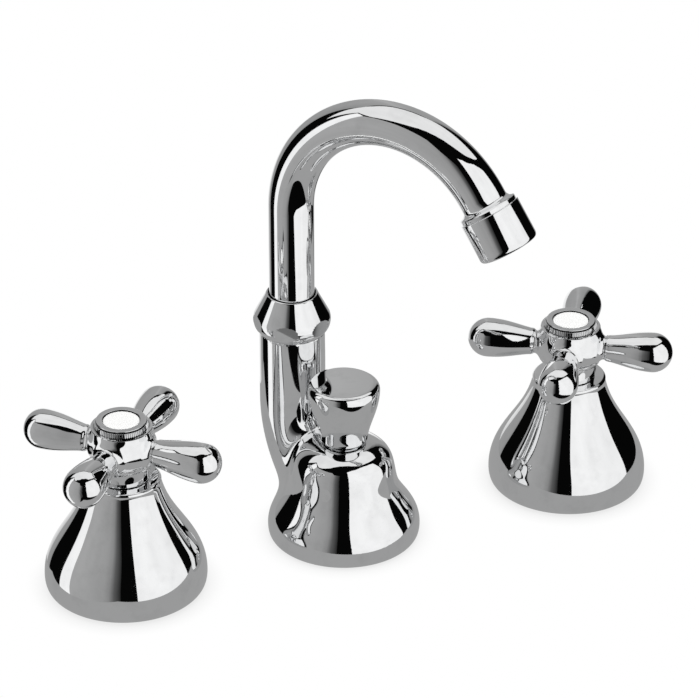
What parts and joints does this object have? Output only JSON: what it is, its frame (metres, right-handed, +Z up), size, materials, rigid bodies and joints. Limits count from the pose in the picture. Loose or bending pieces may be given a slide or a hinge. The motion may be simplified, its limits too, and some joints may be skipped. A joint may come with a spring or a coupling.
{
  "type": "three-hole basin mixer",
  "caption": "Basin mixer with two cross-handle quarter-turn valves, an arched swivel spout with aerator and a pop-up lift knob, with its under-deck fixings.",
  "frame": {"origin": "centre of the spout bell's foot, on the deck surface", "axes": "+X along the row of three holes from the left valve to the right valve, +Y to the back, +Z up"},
  "size_m": [0.2606, 0.1059, 0.3015],
  "materials": {
    "chrome": "polished chrome plating",
    "chrome_knurled": "polished chrome plating with a knurled edge",
    "white_enamel": "white glossy index insert",
    "brass": "machined brass",
    "copper": "drawn copper",
    "stainless": "plain stainless steel",
    "rubber": "black rubber",
    "ceramic": "lapped alumina",
    "white_plastic": "acetal",
    "grey_plastic": "moulded plastic"
  },
  "bodies": {
    "body": {"left_bell": "chrome", "left_deck_seal": "rubber", "left_valve_body": "brass", "left_cartridge_housing": "brass", "left_fixed_disc": "ceramic", "left_cartridge_seal": "rubber", "left_deck_washer": "rubber", "left_thrust_washer": "stainless", "left_lock_nut": "brass", "right_bell": "chrome", "right_deck_seal": "rubber", "right_valve_body": "brass", "right_cartridge_housing": "brass", "right_fixed_disc": "ceramic", "right_cartridge_seal": "rubber", "right_deck_washer": "rubber", "right_thrust_washer": "stainless", "right_lock_nut": "brass", "spout_body": "chrome", "base_seal": "rubber", "tee_shank": "brass", "shank_rubber_washer": "rubber", "shank_metal_washer": "stainless", "shank_lock_nut": "brass", "rod_guide_tube": "brass", "rod_bush": "white_plastic", "rod_o_ring": "rubber", "collar_nut": "chrome", "left_link_pipe": "copper", "right_link_pipe": "copper", "link_nuts": "brass", "link_olives": "copper"},
    "left_handle": {"left_handle": "chrome", "left_handle_screw": "stainless", "left_index_ring": "chrome_knurled", "left_index_disc": "white_enamel", "left_spindle": "brass", "left_turning_disc": "ceramic", "left_spindle_o_ring": "rubber"},
    "right_handle": {"right_handle": "chrome", "right_handle_screw": "stainless", "right_index_ring": "chrome_knurled", "right_index_disc": "white_enamel", "right_spindle": "brass", "right_turning_disc": "ceramic", "right_spindle_o_ring": "rubber"},
    "spout": {"swivel_spout": "chrome", "spout_slide_ring": "white_plastic", "spout_o_rings": "rubber", "aerator_shell": "chrome", "aerator_insert": "grey_plastic", "aerator_seal": "rubber", "aerator_screen": "stainless"},
    "pop_up_lift": {"lift_knob": "chrome", "lift_rod": "stainless"}
  },
  "joints": [
    {"name": "left_handle_turn", "type": "hinge", "parent": "body", "child": "left_handle", "pos_m": [-0.0933, 0, 0.0621], "axis": [0, 0, 1], "range_deg": [0, 90]},
    {"name": "right_handle_turn", "type": "hinge", "parent": "body", "child": "right_handle", "pos_m": [0.0997, 0, 0.0621], "axis": [0, 0, 1], "range_deg": [-90, 0]},
    {"name": "spout_swivel", "type": "hinge", "parent": "body", "child": "spout", "pos_m": [-0.0092, 0.02918, 0.08], "axis": [0, 0, 1], "continuous": true},
    {"name": "lift_knob_slide", "type": "slide", "parent": "body", "child": "pop_up_lift", "axis": [0, 0, 1], "range_m": [0, 0.025]}
  ]
}
